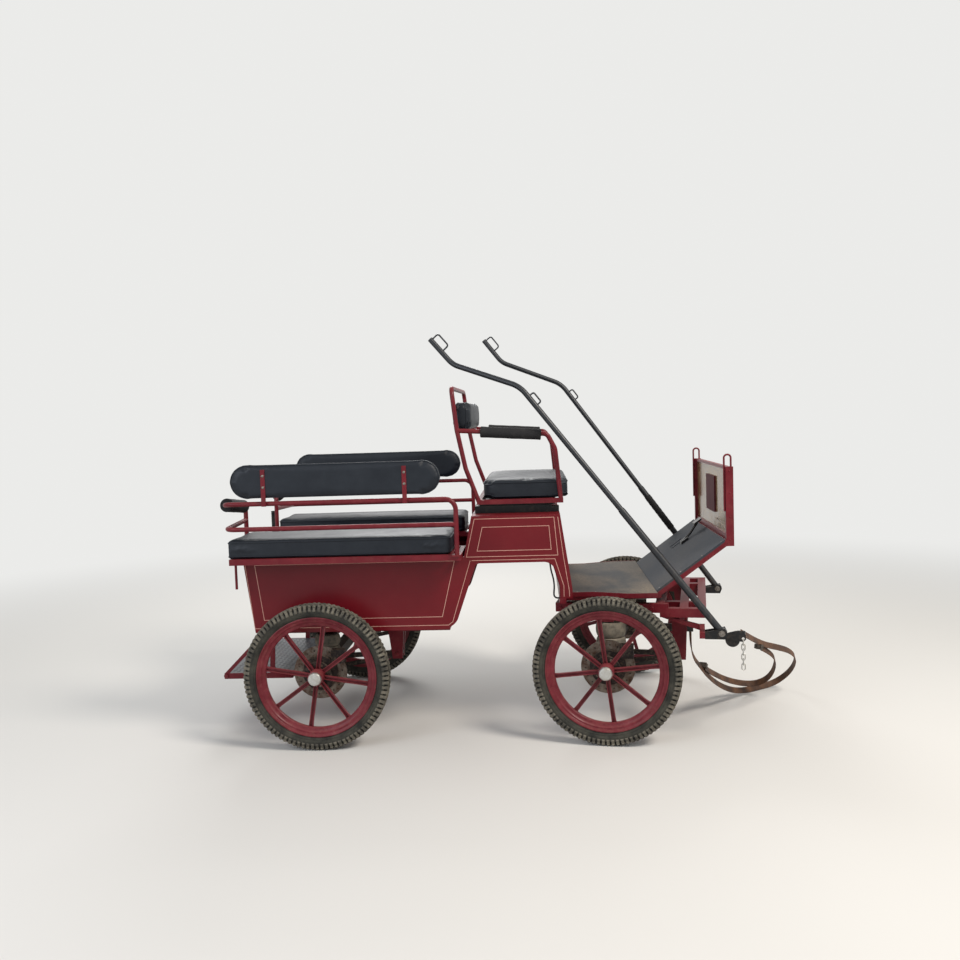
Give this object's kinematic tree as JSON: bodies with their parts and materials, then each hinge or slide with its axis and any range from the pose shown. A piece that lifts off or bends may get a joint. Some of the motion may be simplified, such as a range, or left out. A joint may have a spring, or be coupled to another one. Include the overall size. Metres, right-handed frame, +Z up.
{
  "type": "horse carriage",
  "caption": "Four-wheeled horse-drawn carriage with lengthways benches, raised driver's seat, front platform with dash, rear door and folding shafts.",
  "frame": {"origin": "on the ground, in the middle of the bounding box of all nodes but the loose strap's", "axes": "+X forward, +Y to the carriage's left, +Z up"},
  "size_m": [2.8925, 1.402, 1.966],
  "materials": {
    "maroon_panel": "gloss",
    "red_frame": "faded gloss",
    "red_wheel": "faded satin",
    "black_vinyl": "satin vinyl",
    "black_foam": "matte",
    "black_paint": "gloss",
    "floor_board": "dusty matte",
    "step_plate": "satin",
    "bellows_rubber": "dusty matte",
    "tyre_rubber": "dusty matte",
    "smoked_window": "smoked",
    "chain_steel": "dull bright",
    "strap_leather": "dry worn",
    "hose_rubber": "matte"
  },
  "bodies": {
    "carriage": {"side_right": "maroon_panel", "side_left": "maroon_panel", "tub_floor": "floor_board", "tub_front": "maroon_panel", "tub_rear": "maroon_panel", "driver_box": "maroon_panel", "chassis": "red_frame", "bench_frames": "red_frame", "bench_cushion_right": "black_vinyl", "bench_cushion_left": "black_vinyl", "rail_right": "red_frame", "rail_left": "red_frame", "rear_arm_pads": "black_foam", "backrest_right": "black_vinyl", "backrest_left": "black_vinyl", "seat_base": "black_paint", "seat_frame": "red_frame", "seat_cushion": "black_vinyl", "seat_back": "black_vinyl", "armrest_pads": "black_foam", "platform_floor": "floor_board", "toe_board": "floor_board", "front_frame": "red_frame", "rein_hoops": "red_frame", "dash_window": "smoked_window", "dash_plate": "red_frame", "brake_pedal": "black_paint", "rear_step": "step_plate", "door_grip": "black_foam", "rear_axle": "black_paint", "rear_arms": "black_paint", "rear_bellows": "bellows_rubber", "brake_hose": "hose_rubber"},
    "rear_door": {"rear_door": "maroon_panel"},
    "bogie": {"turntable_ring": "black_paint", "bogie_frame": "red_frame", "front_axle": "black_paint", "front_arms": "black_paint", "front_bellows": "bellows_rubber", "shaft_forks": "black_paint", "shaft_arms": "red_frame", "strap_stop": "black_paint", "strap_clip": "black_paint", "strap_chain": "chain_steel", "strap_keepers": "chain_steel", "strap_outer": "strap_leather", "strap_inner": "strap_leather"},
    "shaft_right": {"shaft_right": "black_paint"},
    "shaft_left": {"shaft_left": "black_paint"},
    "wheel_rear_right": {"tyre_rear_right": "tyre_rubber", "wheel_rear_right": "red_wheel"},
    "wheel_rear_left": {"tyre_rear_left": "tyre_rubber", "wheel_rear_left": "red_wheel"},
    "wheel_front_right": {"tyre_front_right": "tyre_rubber", "wheel_front_right": "red_wheel"},
    "wheel_front_left": {"tyre_front_left": "tyre_rubber", "wheel_front_left": "red_wheel"}
  },
  "joints": [
    {"name": "steering", "type": "hinge", "parent": "carriage", "child": "bogie", "pos_m": [0.66385, 0, 0.622], "axis": [0, 0, 1], "range_deg": [-4.3, 23.7]},
    {"name": "shaft_right_fold", "type": "hinge", "parent": "bogie", "child": "shaft_right", "pos_m": [1.076, -0.6335, 0.512], "axis": [0.1685, 0.9857, 0], "range_deg": [0, 140]},
    {"name": "shaft_left_fold", "type": "hinge", "parent": "bogie", "child": "shaft_left", "pos_m": [1.26303, 0.46063, 0.512], "axis": [0.1685, 0.9857, 0], "range_deg": [0, 140]},
    {"name": "rear_door_swing", "type": "hinge", "parent": "carriage", "child": "rear_door", "pos_m": [-1.12081, -0.252, 0.715], "axis": [-0.1305, 0, 0.9915], "range_deg": [0, 100]},
    {"name": "wheel_rear_right_spin", "type": "hinge", "parent": "carriage", "child": "wheel_rear_right", "pos_m": [-0.77115, -0.62, 0.34], "axis": [0, 1, 0], "continuous": true},
    {"name": "wheel_rear_left_spin", "type": "hinge", "parent": "carriage", "child": "wheel_rear_left", "pos_m": [-0.77115, 0.62, 0.34], "axis": [0, 1, 0], "continuous": true},
    {"name": "wheel_front_right_spin", "type": "hinge", "parent": "bogie", "child": "wheel_front_right", "pos_m": [0.55939, -0.61114, 0.34], "axis": [0.1685, 0.9857, 0], "continuous": true},
    {"name": "wheel_front_left_spin", "type": "hinge", "parent": "bogie", "child": "wheel_front_left", "pos_m": [0.76831, 0.61114, 0.34], "axis": [0.1685, 0.9857, 0], "continuous": true}
  ]
}
